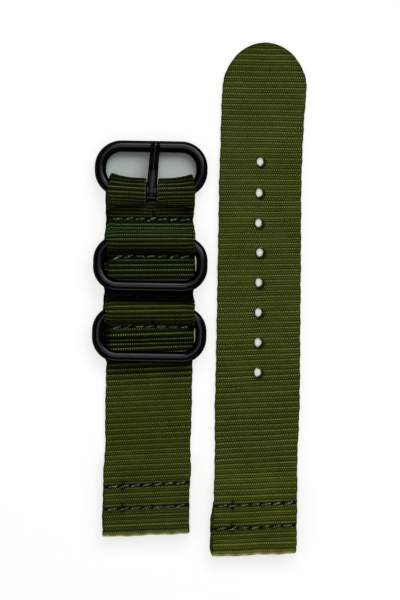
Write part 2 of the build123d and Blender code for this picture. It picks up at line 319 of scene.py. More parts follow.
def added(addOperator, **settings):    # what one of Blender's add operators makes
    clearSelection()
    addOperator(**settings)
    return bpy.context.object


def pointsOf(piece):
    points = np.zeros(len(piece.data.vertices) * 3)
    piece.data.vertices.foreach_get("co", points)
    return points.reshape(-1, 3)


def movePoints(piece, points):
    piece.data.vertices.foreach_set("co", np.asarray(points, dtype=np.float32).ravel())
    piece.data.update()


def joined(pieces, name):
    piece = choose(*pieces)
    if len(pieces) > 1:
        bpy.ops.object.join()
    piece.name = piece.data.name = name
    return piece


def finished(piece, material, body, replaced=()):
    choose(piece)
    bpy.ops.object.transform_apply(location=True, rotation=True, scale=True)
    bpy.ops.object.shade_smooth_by_angle(angle=math.radians(60))
    piece.data.materials.clear()
    piece.data.materials.append(material)
    if replaced:
        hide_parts(*replaced)
    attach(piece, body)


def smoothStep(value, start, end):
    t = np.clip((np.asarray(value, dtype=float) - start) / (end - start), 0, 1)
    return t * t * (3 - 2 * t)


def eased(table, value):    # a table of places and amounts, read between its rows
    places, amounts = zip(*table)
    return np.interp(value, places, amounts)


def bell(away, reach, power=2):    # 1 in the middle, and soon 0 beyond its reach
    return np.exp(-(away / reach) ** power)


def ripple(waves, value):
    return sum(reach * np.sin(value * pace + start) for reach, pace, start in waves)


# A strip's line seen from the side, with the same runs and arcs as its solid

strip = {
    "thickness": 1.2,
    "layerGap": 0.1,
    "bend": 1.5,
    "longBend": 3,
    "stepBend": 3,
    "rampBend": 8,
    "neckBend": 1.8,
    "boreRadius": 1,
    "wireRadius": 1.45,
    "pocketRoom": 0.1,
    "foldSlack": 0.75,
    "shoulderRoom": -0.12,
    "pocketShare": 0.85,         # how closely a pocket follows its ring's round shoulder
    "seamFromFold": (7.1, 12.9),
    "flapPastSeam": 1.2,
    "frontEnds": (16.5, 14.5),   # where the front ends, from the strip's end
    "ribPitch": 1.4,
    "ribDepth": 0.12,
    "ribRound": 0.55,
    "ribAside": 0.04,            # ribs stand out a little at the edge
    "ribFade": 3,
    "rowsPerRib": 8,
    "columnPitch": 0.72,
    "yarnPitch": 0.54,
    "selvedge": 0.55,
    "edgeColumns": (0.55, 0.22, 0.06, 0),    # shares of the selvedge
    "edgeThin": 0.38,
    "edgeDarkening": 0.38,
    "fray": ((0.05, 0.9, 0), (0.04, 2.3, 1)),    # reach, pace and start of each wave
    "waver": ((0.1, 0.62, 0.8), (0.05, 1.7, 0)),    # the same for the loop end's fold
    "waverFrom": 3,
    "loopLight": (0.75, 0.2),      # painted light on the loop's fold, which faces away from the lamps, and how that varies across
    "loopLightAt": -0.6,
    "loopLightHalf": 0.7,
    "besideRing": (8.6, 10.6),   # painted shade: where across the swollen edge beside a ring lies in the ring's shade
    "besideShade": 0.93,
    "besideFull": 0.85,          # how far it bulges where it is darkest
    "rimReach": 0.16,            # how far a cut's rim goes, in shares of the cut
}
half = strip["thickness"] / 2
upperLevel = half + strip["thickness"] + strip["layerGap"]
doubledTop = upperLevel + half
loopUpper = boreZ + (strip["layerGap"] + strip["thickness"]) / 2


class StripLine:
    def __init__(self, y, z, heading):
        self.y, self.z, self.heading = y, z, math.radians(heading)
        self.spans = []

    def runTo(self, y):
        z = self.z + (y - self.y) * math.tan(self.heading)
        self.spans.append(("run", self.y, self.z, y, z, math.hypot(y - self.y, z - self.z)))
        self.y, self.z = y, z

    def turn(self, radius, degrees):
        side = math.copysign(1, degrees)
        cy = self.y - side * radius * math.sin(self.heading)
        cz = self.z + side * radius * math.cos(self.heading)
        begin = self.heading - side * math.pi / 2
        end = begin + math.radians(degrees)
        self.spans.append(("arc", cy, cz, radius, begin, end, radius * abs(math.radians(degrees))))
        self.y, self.z = cy + radius * math.cos(end), cz + radius * math.sin(end)
        self.heading += math.radians(degrees)

    def marks(self):
        return np.concatenate([[0], np.cumsum([span[-1] for span in self.spans])])

    def at(self, s):    # places at distances along the line
        marks = self.marks()
        shares = np.interp(s, marks, np.arange(len(marks)))
        y, z = np.zeros(len(shares)), np.zeros(len(shares))
        which = np.clip(shares.astype(int), 0, len(self.spans) - 1)
        for i, span in enumerate(self.spans):
            mine = which == i
            t = shares[mine] - i
            if span[0] == "run":
                y[mine] = span[1] + (span[3] - span[1]) * t
                z[mine] = span[2] + (span[4] - span[2]) * t
            else:
                angle = span[4] + (span[5] - span[4]) * t
                y[mine] = span[1] + span[3] * np.cos(angle)
                z[mine] = span[2] + span[3] * np.sin(angle)
        return y, z


def turnOntoBar(level, z, foldRadius, radius):
    return math.degrees(math.asin((level + radius - z) / (foldRadius + radius)))


def reachOfFold(level, z, foldRadius, radius):
    return math.sqrt((foldRadius + radius) ** 2 - (level + radius - z) ** 2)


def passOverBar(line, y, pocketRadius, approach):
    fold, climb, drop = pocketRadius + half, approach - half, strip["bend"] - half
    climbAngle = turnOntoBar(upperLevel, keeperZ, fold, climb)
    dropAngle = turnOntoBar(upperLevel, keeperZ, fold, drop)
    line.runTo(y + reachOfFold(upperLevel, keeperZ, fold, climb))
    line.turn(climb, climbAngle - 90)
    line.turn(fold, 90 - climbAngle)
    line.turn(fold, 90 - dropAngle)
    line.turn(drop, dropAngle - 90)


def springBarEnd(line, foldY):
    flapEnd = foldY + strip["seamFromFold"][1] + strip["flapPastSeam"]
    radius = strip["rampBend"]
    angle = math.degrees(math.acos(1 - (loopUpper - half) / (2 * radius)))
    line.runTo(flapEnd + 1.0 + 2 * radius * math.sin(math.radians(angle)))
    line.turn(radius, -angle)
    line.turn(radius, angle)
    fold, neck = strip["boreRadius"] + half, strip["neckBend"] - half
    neckAngle = turnOntoBar(loopUpper, boreZ, fold, neck)
    line.runTo(foldY + strip["boreRadius"] + 2 * half + reachOfFold(loopUpper, boreZ, fold, neck))
    line.turn(neck, neckAngle - 90)
    line.turn(fold, 180 - neckAngle)
    line.turn(fold, 180 - neckAngle)
    line.turn(neck, neckAngle - 90)
    line.runTo(flapEnd)


rings = {
    "frame": {"width": 28.8, "corner": 6.8, "shift": -0.2},
    "keeper": {"width": 29.2, "corner": 6.4, "shift": 0},
}


def shoulderRise(name, x):    # how far a ring's round shoulder stands off its bar
    ring = rings[name]
    inner = ring["corner"] - 2 * strip["wireRadius"]
    past = min(max(abs(x - ring["shift"]) - (ring["width"] / 2 - ring["corner"]), 0), inner)
    return inner - math.sqrt(inner ** 2 - past ** 2)


# A table gives amounts at places along y: lean and skew in degrees, rib pitch, sway, swell and outs
# in millimetres, and shares of the painted cool tint, underside shade, shade (which lightens below 0) and rib
# contrast, where 1 is fully

bucklePiece = {
    "width": 21.8,
    "gain": 0.8,                # painted light: how brightly this piece's copy of the nylon is lit
    "flapEnd": -8.9,
    "slotX": 0.1,
    "slotHalf": 1.52,
    "slotReach": 4.15,
    "slotBack": 2.451,
    "slotPull": (0.6, 3),       # how far ribs sag round the slot's end, and over what reach
    "slotLight": 0.3,             # painted light: the back layer, in the slot's shade, is made pale
    "slotLightMiddle": 23.3,
    "slotLightHalf": (2.2, 1.5),
    "slotThin": 0.3,
    # painted highlight in specks along the slot's rim
    "slotRimGlint": 0.1,
    "flapShift": -0.75,         # how far to the left the back layer lies
    "loopShift": -0.3,          # and the loop's flap
    "loopFlap": (15, 10),       # where it starts and is all the way over, from its end
    "foldY": buckleBoreY - strip["boreRadius"] - strip["thickness"],
    "lean": ((-46, 0), (-35, 3.6), (-12, 3.6), (-6, 1.6), (12, 1.2), (26, 0.6)),
    "skew": ((-46, 3.4), (-34, 0)),    # the loop end is folded askew
    "sway": ((-66, 0), (-45, 0.05), (-20, 0.12), (-9, 0.25), (0, 0.1), (6, 0.25), (14, 0.1), (20, 0)),
    "ribPitch": ((-20, 1.4), (-14, 1.32), (-8, 1.28), (-6.8, 1.02), (-2.4, 1.02), (-1, 1.28), (9.8, 1.28),
                 (11, 0.95), (16.5, 0.95), (17.5, 1.25), (19.5, 1.25), (20.5, 0.9)),
    "ribContrast": ((-23.5, 0.3), (-21, 0.6), (-19.4, 1), (-16.5, 1), (-3, 0.9), (40, 1)),
    "swell": ((-60, 0.15), (-53, 0), (-47, 0.1), (-44, 0.4), (-42, 0.1), (-38, -0.05), (-30, 0.15),
              (-14, 0.1), (-8.5, 0.15), (-3, 0.35), (1.5, 0), (5, 0.15), (10.3, 0.05), (14.5, 0.3),
              (19.7, -0.15), (25, 0.2), (27, 0.15), (28.4, -0.1), (30.6, -0.35)),
    "leftOut": ((-17, 0), (-15, 0.7), (-12, 1), (-8, 1), (-5.5, 0)),    # beside the rings the edges swell
    "rightOut": ((-16, 0), (-13, 0.2), (-7, 0.15), (-3, 0), (3, 0.1), (5, 0.3), (9, 0.3), (11, 0)),
    "flapOut": ((-6.5, 0.5), (-4, 0), (1.5, 0), (3.5, 0.5), (10, 0.5), (12, 0)),
    "coolLight": ((-55, 0.35), (-49, 0.3), (-47, 0), (-16, 0), (-13, 0.8), (-9, 0.8),
                (-6.2, 0.2), (-5, 0), (-2.2, 0.3), (-1, 0.8), (2, 1), (5, 1), (9.5, 1), (11, 0.1),
                (14.5, 0.2), (16, 0.8), (19.5, 1), (21, 0.25), (26, 0.3), (28.5, 0.8), (31, 1)),
    "undersideShade": ((-9, 0), (-7.2, 0.75), (-5.6, 0.5), (-4, 0.3), (-2.6, 0.1), (-1.5, 0), (10.2, 0),
              (10.8, 0.95), (12.4, 0.7), (14.3, 0.5), (15.5, 0.1), (16.5, 0), (19.5, 0), (20.3, 0.8),
              (22.5, 0.6), (25.5, 0.4), (27.3, 0.15), (28.5, 0)),
    "shaded": ((-47, -0.13), (-42, -0.04), (-20, 0), (-16, 0.2), (-12, 0.3), (-9, 0.15),
               (-7.4, 0.25), (-5, 0.02), (-3, 0), (-1.9, 0.15), (-1.3, 0.93), (1.5, 0.95), (3.2, 0.85),
               (4.6, 0.5), (7, 0.32), (10, 0.35), (10.6, 0.6), (12, 0.3), (14, 0.15), (16, 0),
               (18.5, 0.1), (20, 0.35), (21, 0.3), (26, 0.15), (28.5, 0.25), (29.5, 0.6), (30.5, 0.8)),
}


def buckleLine(x):
    line = StripLine(bucklePiece["flapEnd"], half, 0)
    wire, edge = strip["wireRadius"], bucklePiece["width"] / 2
    slack = wire + strip["foldSlack"]
    atEdge = wire + strip["shoulderRoom"] + shoulderRise("frame", edge)
    atX = wire + strip["shoulderRoom"] + shoulderRise("frame", x)
    fold = max(slack + (atEdge - slack) * (abs(x) / edge) ** 3, atX)
    pocket = wire + strip["pocketRoom"] + strip["pocketShare"] * shoulderRise("keeper", x)
    under = barZ - strip["thickness"]
    line.runTo(barY + fold - under)
    line.turn(under + half, 90)
    radius = strip["bend"] - half
    angle = turnOntoBar(upperLevel, barZ, fold + half, radius)
    line.turn(fold + half, 90)
    line.turn(fold + half, 90 - angle)
    line.turn(radius, angle - 90)
    passOverBar(line, upperKeeperY, pocket, strip["longBend"])
    passOverBar(line, lowerKeeperY, pocket, strip["bend"])
    step = math.degrees(math.acos(1 - (upperLevel - half) / (2 * strip["stepBend"])))
    line.runTo(bucklePiece["flapEnd"] - strip["layerGap"])
    line.turn(strip["stepBend"], step)
    line.turn(strip["stepBend"], -step)
    springBarEnd(line, bucklePiece["foldY"])
    return line


still = ((0, 0), (1, 0))    # a table that adds nothing
tailPiece = {
    "width": 21.3,
    "gain": 1.03,
    "tip": 65.45,
    "taper": 12.4,
    "foldY": tailBoreY - strip["boreRadius"] - strip["thickness"],
    "loopShift": -0.75,
    "loopFlap": (17, 11),
    "lean": ((-48, 0), (-38, 3.6), (-10, 3.2), (20, 1.2), (45, 0.2)),
    "skew": ((-48, 3.4), (-37, 0)),
    "sway": ((-65, -0.1), (-40, 0), (-20, 0.1), (10, 0), (30, -0.1), (39, 0.08), (45, 0.2), (51, 0.45),
             (55, 0.65), (65, 0.7)),
    "ribPitch": ((-40, 1.4), (0, 1.34), (40, 1.36), (52, 1.42)),
    "ribContrast": ((-65, 0.3), (-20, 0.35), (-5, 0.15), (40, 0.1), (50, 0.2), (65, 0.22)),
    "swell": ((-65, 0.1), (-52, 0), (-40, -0.1), (-28, 0.2), (-8, 0.05), (10, -0.02), (20, -0.1),
              (38, -0.15), (48, 0), (54, 0.15)),
    "leftOut": still,
    "rightOut": still,
    "flapOut": still,
    "coolLight": ((-45, 0), (0, 0.25)),
    "undersideShade": still,
    "shaded": ((38, 0), (46, 0.05)),
    "holePitch": 7.66,
    "firstHole": 35.1,
    "holeSize": (1.92, 2.35),
    "holeAside": (-0.23, -0.26, -0.33, 0.05, -0.1, -0.1, -0.1, -0.1),
    "holeDrop": (0.1, 0.35, 0.4, 0.3, 0.3, 0.3, 0.3, 0.3),    # how much lower each was burnt through
}


def tailLine(x):
    line = StripLine(tailPiece["tip"], half, 180)
    springBarEnd(line, tailPiece["foldY"])
    return line


# Seams: where each lies, its knot's place and reach, how its row sags at the left and right, and
# which layers it holds

doubled = {"piece": "buckle", "bottom": 0, "top": doubledTop}
buckleLoop = {"piece": "buckle", "bottom": 0.95, "top": 3.45}
tailLoop = {"piece": "tail", "bottom": 0.95, "top": 3.45}
seams = {
    "buckle_fold_seam": {"y": 19.75, "tack": (0.6, 1.2, 1.1), "sag": (0, 0), **doubled},
    "upper_keeper_seam": {"y": 10.3, "tack": (0.5, 0.4, 0.5), "sag": (-0.9, 0), **doubled},
    "between_keepers_seam": {"y": 0.25, "tack": (0.5, 0, 0.5), "sag": (0, 0), **doubled, "lit": False},
    "lower_keeper_seam": {"y": -7.6, "tack": (0.5, 1.2, 0.9), "sag": (-0.8, 0.1), **doubled},
    "buckle_loop_inner_seam": {"y": -47.95, "tack": (-5.85, 0, 1.4), "sag": (-0.1, 0.3), **buckleLoop},
    "buckle_loop_outer_seam": {"y": -53.75, "tack": (-5.85, 0.2, 1.4), "sag": (-0.1, 0.2), **buckleLoop},
    "tail_loop_inner_seam": {"y": -52.55, "tack": (-5.8, 0, 1.4), "sag": (0, 0.2), **tailLoop},
    "tail_loop_outer_seam": {"y": -58.35, "tack": (-5.8, 0.2, 1.4), "sag": (0, 0.2), **tailLoop},
}
stitching = {
    "count": 7,
    "edgeMargin": 0.85,
    "groove": 0.34,            # how much a seam presses the webbing, and half how wide
    "grooveHalf": 0.6,
    # painted shade in a seam's groove and needle pits; a knot's mark is its dark thread
    "seamGrooveShade": 0.55,
    "pit": 0.62,
    "pitHalf": 0.5,
    "pitShadeAndKnot": 0.95,
    "tackHalf": 0.42,          # half of the knot across
}


def seamRow(seam, x, width):
    left, right = seam["sag"]
    t = np.asarray(x, dtype=float) / (width / 2)
    return seam["y"] + left * np.clip(-t, 0, 1) ** 3 + right * np.clip(t, 0, 1) ** 2


def needlePlaces(width):
    reach = width / 2 - stitching["edgeMargin"]
    return np.linspace(-reach, reach, stitching["count"] + 1)


def seamMarks(sizes, x, y):    # how the piece's seams press the webbing, with painted shade in their grooves and needle pits and the knots' dark marks
    pressed, darkening = np.ones(len(x)), np.zeros(len(x))
    for seam in seams.values():
        if seam["piece"] != sizes["key"]:
            continue
        leaning = x * np.tan(np.radians(eased(sizes["skew"], seam["y"])))
        away = y - leaning - seamRow(seam, x, sizes["width"])
        groove = bell(away, stitching["grooveHalf"])
        pits = np.zeros(len(x))
        for needle in needlePlaces(sizes["width"]):
            pits += np.exp(-(away ** 2 + (x - needle) ** 2) / stitching["pitHalf"] ** 2)
        tackX, tackY, tackReach = seam["tack"]
        tack = bell(x - tackX, stitching["tackHalf"], 4) * bell(away - tackY, tackReach, 4)
        pits = np.clip(np.clip(pits, 0, 1) + tack, 0, 1)
        pressed *= 1 - stitching["groove"] * groove - stitching["pit"] * pits
        darkening = np.maximum(darkening, stitching["pitShadeAndKnot"] * pits + stitching["seamGrooveShade"] * groove)
    return pressed, darkening


# Webbing: a grid is cut, folded along the strip's line, thickened and ribbed

def columnsAcross(width, fineReach, fineCount):
    reach = width / 2 - strip["selvedge"]
    fine = np.linspace(-fineReach, fineReach, fineCount)
    coarse = np.linspace(fineReach, reach, 1 + round((reach - fineReach) / strip["columnPitch"]))[1:]
    rim = width / 2 - strip["selvedge"] * np.array(strip["edgeColumns"])
    side = np.concatenate([coarse, rim])
    return np.concatenate([-side[::-1], fine, side])


def gridPlaces(piece, columns, rows):    # each point's column and row, and its place on the flat strip
    grid = pointsOf(piece) + 0.5
    column = np.rint(grid[:, 0] * (len(columns) - 1)).astype(int)
    row = np.rint(grid[:, 1] * (len(rows) - 1)).astype(int)
    return column, row, np.stack([columns[column], rows[row]], axis=1)


def numbersOf(items, key, each=1):
    values = np.zeros(len(items) * each, dtype=np.int32)
    items.foreach_get(key, values)
    return values


def cutThrough(piece, columns, rows, cuts):    # faces inside go, and the rim is drawn onto the outline
    column, row, flat = gridPlaces(piece, columns, rows)
    corners = numbersOf(piece.data.loops, "vertex_index").reshape(-1, 4)
    gone = np.any([cut(flat[corners].mean(axis=1)) < 1 for cut in cuts], axis=0)
    choose(piece)
    bpy.ops.object.mode_set(mode="EDIT")
    bpy.ops.mesh.select_mode(type="FACE")
    bpy.ops.mesh.select_all(action="DESELECT")
    bpy.ops.object.mode_set(mode="OBJECT")
    piece.data.polygons.foreach_set("select", gone)
    bpy.ops.object.mode_set(mode="EDIT")
    bpy.ops.mesh.delete(type="FACE")
    bpy.ops.object.mode_set(mode="OBJECT")
    column, row, flat = gridPlaces(piece, columns, rows)
    edgeUse = np.bincount(numbersOf(piece.data.loops, "edge_index"), minlength=len(piece.data.edges))
    ends = numbersOf(piece.data.edges, "vertices", 2).reshape(-1, 2)
    rim = np.zeros(len(flat), dtype=bool)
    rim[ends[edgeUse == 1].ravel()] = True
    for cut in cuts:
        near = rim & (cut(flat) < 2) & (np.abs(flat[:, 0]) < columns[-1] - 1)
        centres = cut.centreOf(flat[near])
        flat[near] = centres + (flat[near] - centres) / cut(flat[near])[:, None]
    return column, row, flat


def foldStrip(s, column, columns, rows, lineAt, levelRuns):    # on level runs, a row keeps its y
    centre = lineAt(0)
    total = centre.marks()[-1]
    rowY, _ = centre.at(rows)
    y, z = np.zeros(len(s)), np.zeros(len(s))
    for i, x in enumerate(columns):
        mine = column == i
        line = lineAt(x)
        end = line.marks()[-1]
        trace = np.linspace(0, end, 6000)
        traceY, _ = line.at(trace)
        knots, held = [0.0], [0.0]
        for first, last in levelRuns:
            here = (rows > first) & (rows < last)
            near = (trace / end > (first - 4) / total) & (trace / end < (last + 4) / total)
            order = np.argsort(traceY[near])
            knots += list(rows[here])
            held += list(np.interp(rowY[here], traceY[near][order], trace[near][order]))
        y[mine], z[mine] = line.at(np.interp(s[mine], knots + [total], held + [end]))
    return y, z


def ribPlaces(centre, total, sizes):    # how many ribs lie before each place on the strip
    trace = np.linspace(0, total, 8001)
    traceY, _ = centre.at(trace)
    onFront = (trace > sizes["frontFrom"][0]) & (trace < total - strip["frontEnds"][1])
    pitches = np.where(onFront, eased(sizes["ribPitch"], traceY), strip["ribPitch"])
    ribCount = np.concatenate([[0], np.cumsum(np.diff(trace) / pitches[1:])])
    ribs = round(ribCount[-1])
    return ribs, trace, ribCount * (ribs / ribCount[-1])


def keepFlatPlaces(piece, flat, phase, ribs, width):    # they are the piece's UV map
    uv = np.stack([flat[:, 0] / width + 0.5, phase / ribs], axis=1)
    uv = uv[numbersOf(piece.data.loops, "vertex_index")]
    piece.data.uv_layers[0].name = "UVMap"
    piece.data.uv_layers[0].data.foreach_set("uv", uv.astype(np.float32).ravel())


def thicken(piece):
    choose(piece)
    solid = piece.modifiers.new("thickness", "SOLIDIFY")
    solid.thickness, solid.offset, solid.use_even_offset = strip["thickness"] * mm, 0, True
    bpy.ops.object.modifier_apply(modifier="thickness")


def keepTone(piece, key, tone):    # a number for each point, which the material reads
    places = piece.data.attributes.new(key, "FLOAT", "POINT").data
    places.foreach_set("value", tone.astype(np.float32))


def webbingStrip(name, lineAt, sizes, columns, cuts):
    centre = lineAt(0)
    total = centre.marks()[-1]
    halfWidth = sizes["width"] / 2
    frontEnd, frontGone = (total - fromEnd for fromEnd in strip["frontEnds"])

    # A grid, with the same number of rows to every rib
    ribs, trace, ribCount = ribPlaces(centre, total, sizes)
    rowCount = ribs * strip["rowsPerRib"]
    rows = np.interp(np.linspace(0, ribs, rowCount + 1), ribCount, trace)
    rowY, _ = centre.at(rows)
    loopFold = rows[np.argmin(rowY)]    # the loop end's furthest reach
    front = smoothStep(rows, *sizes["frontFrom"]) * (1 - smoothStep(rows, frontEnd, frontGone))
    lean = eased(sizes["lean"], rowY) * front
    ribFade = np.clip(np.minimum(rows, total - rows) / strip["ribFade"], 0, 1)
    piece = added(bpy.ops.mesh.primitive_grid_add, x_subdivisions=len(columns) - 1,
                  y_subdivisions=rowCount, size=1, calc_uvs=True)
    column, row, flat = cutThrough(piece, columns, rows, cuts)
    front, ribFade = front[row], ribFade[row]

    # Fold it, and give it the uneven edges and the skewed loop end of the real strip
    x = flat[:, 0]
    s = flat[:, 1] - x * np.tan(np.radians(np.interp(flat[:, 1], rows, lean)))
    s = np.clip(s + sizes["pull"](x, flat[:, 1]), 0, total)
    y, z = foldStrip(s, column, columns, rows, lineAt, sizes["levelRuns"])
    widen = sizes["outline"](y)
    swell = 1 + eased(sizes["swell"], y) / halfWidth
    sideShare = np.clip(np.abs(x) / halfWidth, 0, 1)
    px = x * widen * swell + np.sign(x) * sideShare ** 6 * ripple(strip["fray"], s) * widen
    px += eased(sizes["sway"], y) * front + sizes["shiftAt"](s, total)
    out = np.where(x > 0, eased(sizes["rightOut"], y), -eased(sizes["leftOut"], y)) * front
    out -= np.where(x < 0, eased(sizes["flapOut"], y), 0) * (1 - smoothStep(s, *sizes["frontFrom"]))
    px += out * sideShare ** 3
    atFold = smoothStep(-y, -sizes["foldY"] - strip["waverFrom"], -sizes["foldY"])
    py = y + x * np.tan(np.radians(eased(sizes["skew"], y))) + ripple(strip["waver"], x) * atFold
    movePoints(piece, np.stack([px + sizes["x"], py, z], axis=1) * mm)
    phase = np.interp(flat[:, 1], trace, ribCount)
    keepFlatPlaces(piece, flat, phase, ribs, sizes["width"])
    thicken(piece)

    # Ribs, selvedges, seams and rims: each outer and inner point closes towards their middle
    outer, inner = np.split(pointsOf(piece), 2)
    middle, halfWay = (outer + inner) / 2, (outer - inner) / 2
    y = middle[:, 1] / mm
    wear = sizes["wear"](flat, cuts, y, widen)
    pressed, seamShade = seamMarks(sizes, x, y)
    rib = np.abs(np.sin(np.pi * phase)) ** strip["ribRound"]
    fromEdge = np.clip((halfWidth - np.abs(x)) / strip["selvedge"], 0, 1)
    keep = 1 - (1 - rib) * strip["ribDepth"] * ribFade / half
    keep *= strip["edgeThin"] + (1 - strip["edgeThin"]) * np.sqrt(1 - (1 - fromEdge) ** 2)
    keep *= pressed * wear["keep"]
    onTop = (flat[:, 1] > sizes["frontFrom"][1]) & (flat[:, 1] < frontEnd)
    outerSeen = halfWay[onTop, 2].mean() > 0
    halfWay *= keep[:, None]
    middle[:, 0] += np.sign(x) * (rib - 0.5) * strip["ribAside"] * (1 - fromEdge) * mm
    outer, inner = middle + halfWay, middle - halfWay
    movePoints(piece, np.concatenate([outer, inner]))

    # What the material reads from the mesh
    seen = outer if outerSeen else inner
    seenY = seen[:, 1] / mm - x * np.tan(np.radians(eased(sizes["skew"], y)))
    edgeDarkening = strip["edgeDarkening"] * (1 - fromEdge) ** 2
    # Painted light on the loop's down-facing fold
    lightShare, varies = strip["loopLight"]
    loopLight = bell(flat[:, 1] - loopFold - strip["loopLightAt"], strip["loopLightHalf"])
    loopLight *= lightShare + varies * np.sin(x * 1.7)
    tones = {
        "darkening": np.maximum.reduce([edgeDarkening, seamShade, wear["darkening"]]),
        "rimGlint": wear["rimGlint"],
        "paintedLight": np.maximum(loopLight, wear["paintedLight"]),
    }
    for key in ("coolLight", "undersideShade", "shaded", "ribContrast"):
        tones[key] = eased(sizes[key], seenY)
    # Painted shade on the left edge where it swells beside a ring
    besideRing = smoothStep(-x, *strip["besideRing"]) * eased(sizes["leftOut"], y) / strip["besideFull"]
    darker = np.maximum(tones["shaded"], np.minimum(besideRing, strip["besideShade"]))
    tones["shaded"] = np.where(besideRing > 0, darker, tones["shaded"])
    for key, tone in tones.items():
        keepTone(piece, key, np.tile(tone, 2))
    piece.name = piece.data.name = name
    print(name, len(piece.data.vertices), "points,", ribs, "ribs")
    return piece, ribs


def makeWebbing(name, materialName, lineAt, sizes, columns, cuts):
    piece, ribs = webbingStrip(name, lineAt, sizes, columns, cuts)
    yarns = round(sizes["width"] / strip["yarnPitch"])
    body = sizes["key"] + "_strap"
    nylon = ribbedNylon(materialName, ribs, yarns, sizes["gain"])
    finished(piece, nylon, body, [body + "_webbing"])


class SlotCut:  # an oblong with blunt ends; below 1 is inside
    def __init__(self, x, start, end, radius, shiftBack):
        self.x, self.start, self.end, self.radius, self.shiftBack = x, start, end, radius, shiftBack

    def centreOf(self, flat):    # the hidden layer's slot stays behind the tongue
        x = self.x - self.shiftBack * hiddenShare(flat[:, 1])
        return np.stack([x, np.clip(flat[:, 1], self.start, self.end)], axis=1)

    def __call__(self, flat):
        return np.sum(np.abs(flat - self.centreOf(flat)) ** 3, axis=1) ** (1 / 3) / self.radius


class HoleCut:  # an ellipse; below 1 is inside
    def __init__(self, x, middle, size):
        self.x, self.middle, self.size = x, middle, size

    def centreOf(self, flat):
        return np.full((len(flat), 2), (self.x, self.middle))

    def __call__(self, flat):
        away = (flat - self.centreOf(flat)) / (np.array(self.size) / 2)
        return np.linalg.norm(away, axis=1)


def alongStrip(line, y):    # where the line passes y, on the back layer and on the front
    s = np.linspace(0, line.marks()[-1], 20001)
    places, _ = line.at(s)
    back, front = np.nonzero(np.diff(np.sign(places - y)))[0][:2]
    return s[back], s[front]


middleLine = buckleLine(0)
slotHalf = bucklePiece["slotHalf"]
frontSlot = alongStrip(middleLine, barY - (bucklePiece["slotReach"] - slotHalf))[1]
backSlot = alongStrip(middleLine, barY - bucklePiece["slotBack"] + slotHalf)[0]
foldTop = sum(alongStrip(middleLine, barY)) / 2


def hiddenShare(s):    # 1 on the buckle piece's back layer, 0 on its front
    return 1 - smoothStep(s, foldTop - 6, foldTop + 1)


def loopFlapShift(s, total, sizes):    # the loop's flap, whose end turns back into line
    start, full = sizes["loopFlap"]
    turnBack = 1 - 0.7 * smoothStep(s, total - 5, total)
    return smoothStep(s, total - start, total - full) * turnBack * sizes["loopShift"]


def buckleFlapShift(s, total):
    return hiddenShare(s) * bucklePiece["flapShift"] + loopFlapShift(s, total, bucklePiece)


def tailFlapShift(s, total):
    return loopFlapShift(s, total, tailPiece)


def slotPull(x, s):
    sag, reach = bucklePiece["slotPull"]
    return sag * bell(x, reach) * bell(s - frontSlot, reach)


def tailPull(x, s):
    return 0.07 * np.sin(0.31 * x + 0.23 * s) * np.cos(0.17 * x - 0.11 * s + 1)


def tailOutline(y):
    past = np.clip((y - (tailPiece["tip"] - tailPiece["taper"])) / tailPiece["taper"], 0, 0.9985)
    return np.sqrt(1 - past ** 2)


def rimOf(cut, flat):    # 1 at a cut's rim, and soon 0 beyond it
    return bell(np.clip(cut(flat), 1, 9) - 1, strip["rimReach"])


def slotWear(flat, cuts, y, widen):
    x, s = flat.T
    # Painted light on the back layer seen through the slot, and a painted highlight along the slot's rim
    halfX, halfY = bucklePiece["slotLightHalf"]
    throughSlot = bell(x, halfX, 6) * bell(y - bucklePiece["slotLightMiddle"], halfY, 4)
    atRim = rimOf(cuts[0], flat)
    return {
        "keep": 1 - bucklePiece["slotThin"] * atRim,
        "darkening": np.zeros(len(x)),
        "rimGlint": bucklePiece["slotRimGlint"] * atRim * (s > foldTop),
        "paintedLight": bucklePiece["slotLight"] * throughSlot * (s < foldTop),
    }


burns = {
    "rim": 0.9,
    "beside": 0.88,
    "besideAt": (0.35, 0.40),      # further to the right and below
    "besideHalf": (1.45, 1.7),
    "tip": 0.6,
    "tipReach": 0.4,
    "taper": 0.7,
}


def holeWear(flat, cuts, y, widen):    # holes and tip are cut with a hot tool
    x, s = flat.T
    darkening = burns["tip"] * np.exp(-s / burns["tipReach"])
    inward = (1 - np.abs(x) / (tailPiece["width"] / 2)) * widen
    darkening = np.maximum(darkening, burns["taper"] * np.exp(-inward * 30) * (widen < 0.995))
    for cut in cuts:
        away = (flat - cut.centreOf(flat) - burns["besideAt"]) / burns["besideHalf"]
        beside = 1 - smoothStep(np.linalg.norm(away, axis=1), 0.75, 1.05)
        darkening = np.maximum.reduce([darkening, burns["rim"] * rimOf(cut, flat), burns["beside"] * beside])
    return {"keep": 1, "darkening": darkening, "rimGlint": np.zeros(len(x)), "paintedLight": np.zeros(len(x))}


backEnd, frontStart = alongStrip(middleLine, barY - 0.5)
frontRun = (frontStart, middleLine.marks()[-1] - 22)
bucklePiece.update(
    x=buckleX, key="buckle", frontFrom=(foldTop + 1, foldTop + 8), levelRuns=[(0.1, backEnd), frontRun],
    pull=slotPull, shiftAt=buckleFlapShift, outline=np.ones_like, wear=slotWear)
tailPiece.update(
    x=tailX, key="tail", frontFrom=(-2, -1), levelRuns=[],
    pull=tailPull, shiftAt=tailFlapShift, outline=tailOutline, wear=holeWear)

slot = SlotCut(bucklePiece["slotX"], backSlot, frontSlot, slotHalf, bucklePiece["flapShift"])
buckleColumns = columnsAcross(bucklePiece["width"], slotHalf - bucklePiece["flapShift"] + 0.25, 17)
makeWebbing("ribbed_webbing_buckle_piece", "olive ribbed nylon", buckleLine, bucklePiece,
            buckleColumns, [slot])

